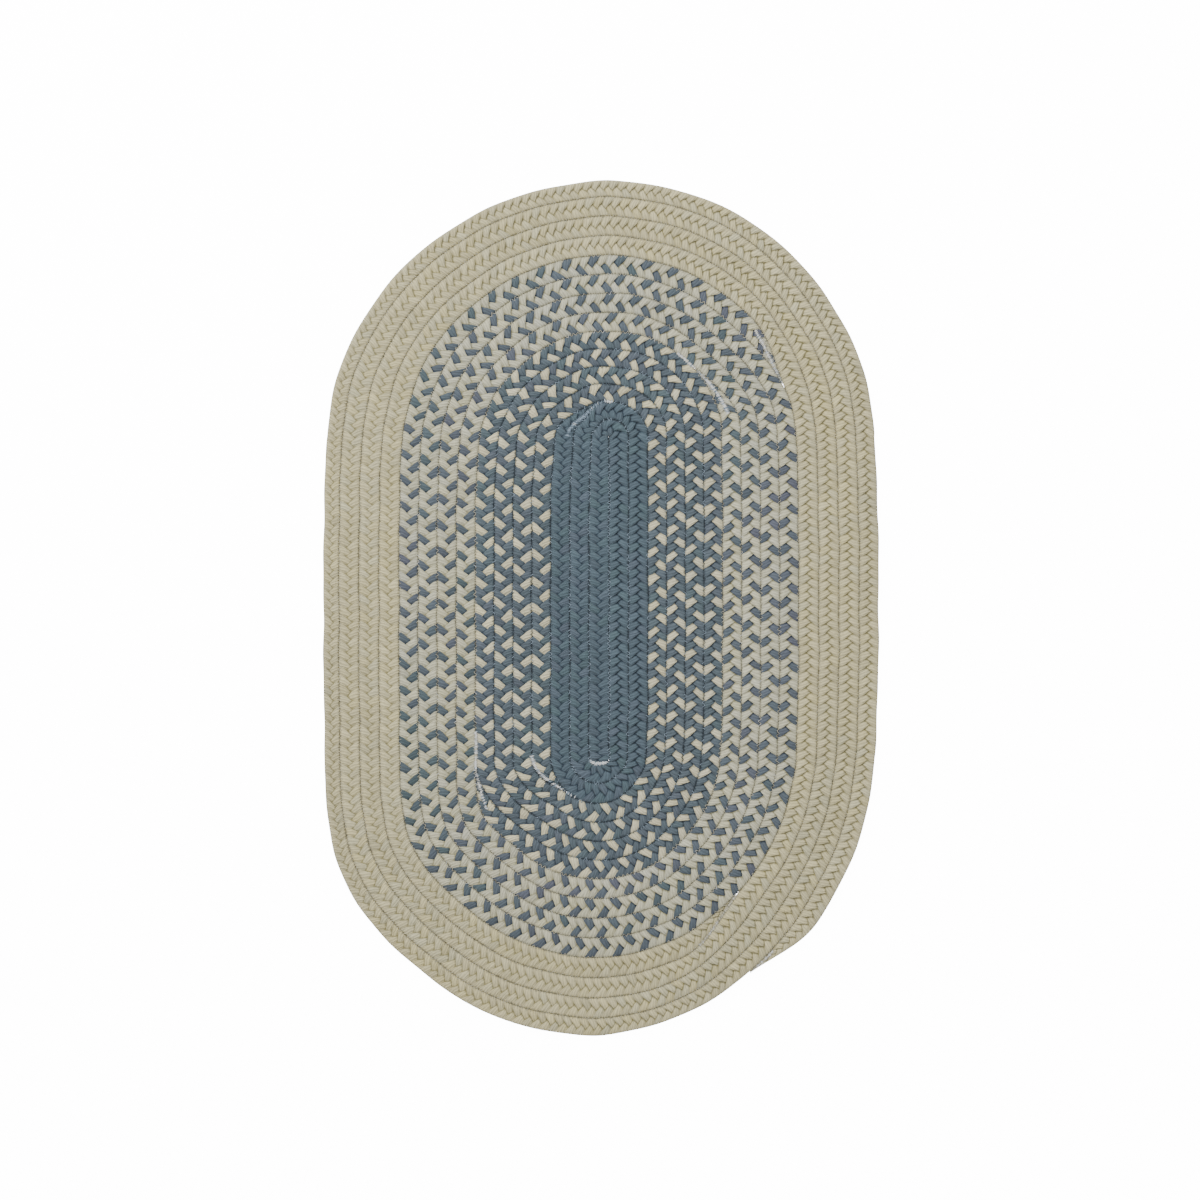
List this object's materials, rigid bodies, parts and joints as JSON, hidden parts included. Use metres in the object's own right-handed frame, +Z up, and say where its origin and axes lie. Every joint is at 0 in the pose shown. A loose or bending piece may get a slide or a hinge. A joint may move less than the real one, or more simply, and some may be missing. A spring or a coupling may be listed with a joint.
{
  "type": "braided rug",
  "caption": "Oval braided rug lying flat, wound and sewn from plaited yarn, with a plain blue centre, flecked rings and a cream border.",
  "frame": {"origin": "on the floor, under the middle of the rug's outline", "axes": "+Y along the rug's length, +X across it, +Z up from the floor"},
  "size_m": [0.5942, 0.9156, 0.0092],
  "materials": {
    "blue_yarn": "matt plaited yarn",
    "blue_yarn_cream_fleck": "matt plaited yarn, one strand in three cream",
    "cream_yarn_blue_fleck": "matt plaited yarn, one strand in three blue",
    "cream_yarn": "matt plaited yarn"
  },
  "bodies": {
    "root": {"braid_centre": "blue_yarn", "braid_inner_band": "blue_yarn_cream_fleck", "braid_outer_band": "cream_yarn_blue_fleck", "braid_border": "cream_yarn"}
  },
  "joints": []
}
